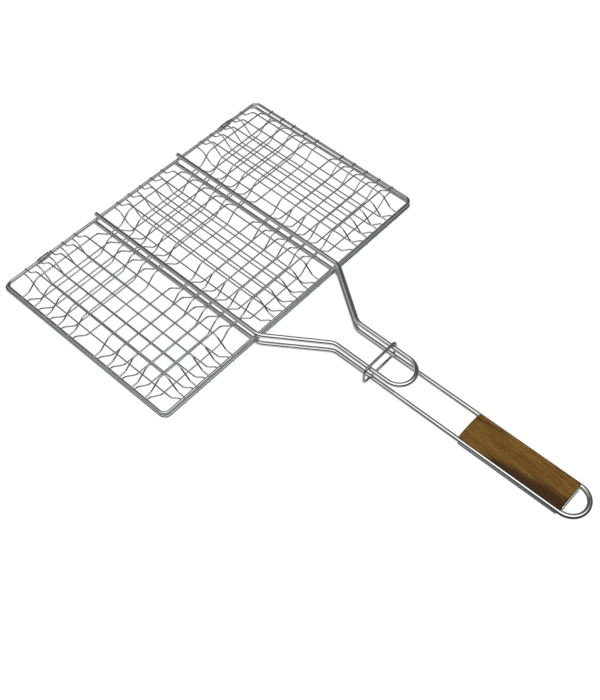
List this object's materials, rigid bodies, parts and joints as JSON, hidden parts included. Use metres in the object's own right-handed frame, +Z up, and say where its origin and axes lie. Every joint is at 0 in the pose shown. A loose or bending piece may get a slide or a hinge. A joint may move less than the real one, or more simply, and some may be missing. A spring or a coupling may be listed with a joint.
{
  "type": "grill basket",
  "caption": "Hinged wire grill basket with pocketed mesh halves, long rod handles, a sliding lock ring and a wooden grip.",
  "frame": {"origin": "on the ground, under the middle of the closed basket's bounding box, handle included", "axes": "+Z up; +X along the basket's long edge, to the right when the handle points at the holder; +Y from the hanging loop towards the hinge"},
  "size_m": [0.34, 0.538, 0.0361],
  "materials": {
    "rod_steel": "bright plated",
    "mesh_steel": "bright plated, fine wire",
    "ring_steel": "bright plated",
    "clip_steel": "rolled sheet, dulled",
    "plate_steel": "satin sheet",
    "grip_wood": "oiled, satin"
  },
  "bodies": {
    "lower_half": {"lower_frame": "rod_steel", "lower_handle": "rod_steel", "hinge_clip_left": "clip_steel", "hinge_clip_right": "clip_steel", "grip": "grip_wood", "grip_plate": "plate_steel", "lower_long_wire_01": "mesh_steel", "lower_long_wire_02": "mesh_steel", "lower_long_wire_03": "mesh_steel", "lower_long_wire_04": "mesh_steel", "lower_long_wire_05": "mesh_steel", "lower_long_wire_06": "mesh_steel", "lower_long_wire_07": "mesh_steel", "lower_long_wire_08": "mesh_steel", "lower_long_wire_09": "mesh_steel", "lower_long_wire_10": "mesh_steel", "lower_long_wire_11": "mesh_steel", "lower_long_wire_12": "mesh_steel", "lower_long_wire_13": "mesh_steel", "lower_long_wire_14": "mesh_steel", "lower_long_wire_15": "mesh_steel", "lower_cross_wire_01": "mesh_steel", "lower_cross_wire_02": "mesh_steel", "lower_cross_wire_03": "mesh_steel", "lower_cross_wire_04": "mesh_steel", "lower_cross_wire_05": "mesh_steel", "lower_cross_wire_06": "mesh_steel", "lower_cross_wire_07": "mesh_steel", "lower_cross_wire_08": "mesh_steel", "lower_cross_wire_09": "mesh_steel", "lower_cross_wire_10": "mesh_steel"},
    "upper_half": {"upper_frame": "rod_steel", "upper_handle": "rod_steel", "upper_long_wire_01": "mesh_steel", "upper_long_wire_02": "mesh_steel", "upper_long_wire_03": "mesh_steel", "upper_long_wire_04": "mesh_steel", "upper_long_wire_05": "mesh_steel", "upper_long_wire_06": "mesh_steel", "upper_long_wire_07": "mesh_steel", "upper_long_wire_08": "mesh_steel", "upper_long_wire_09": "mesh_steel", "upper_long_wire_10": "mesh_steel", "upper_long_wire_11": "mesh_steel", "upper_long_wire_12": "mesh_steel", "upper_long_wire_13": "mesh_steel", "upper_long_wire_14": "mesh_steel", "upper_long_wire_15": "mesh_steel", "upper_cross_wire_01": "mesh_steel", "upper_cross_wire_02": "mesh_steel", "upper_cross_wire_03": "mesh_steel", "upper_cross_wire_04": "mesh_steel", "upper_cross_wire_05": "mesh_steel", "upper_cross_wire_06": "mesh_steel", "upper_cross_wire_07": "mesh_steel", "upper_cross_wire_08": "mesh_steel", "upper_cross_wire_09": "mesh_steel", "upper_cross_wire_10": "mesh_steel"},
    "ring": {"lock_ring": "ring_steel"}
  },
  "joints": [
    {"name": "basket_hinge", "type": "hinge", "parent": "lower_half", "child": "upper_half", "pos_m": [0, 0.26038, 0.0219], "axis": [-1, 0, 0], "range_deg": [0, 170]},
    {"name": "ring_slide", "type": "slide", "parent": "lower_half", "child": "ring", "axis": [0, 0.9999, 0.0128], "range_m": [-0.088, 0.034]}
  ]
}
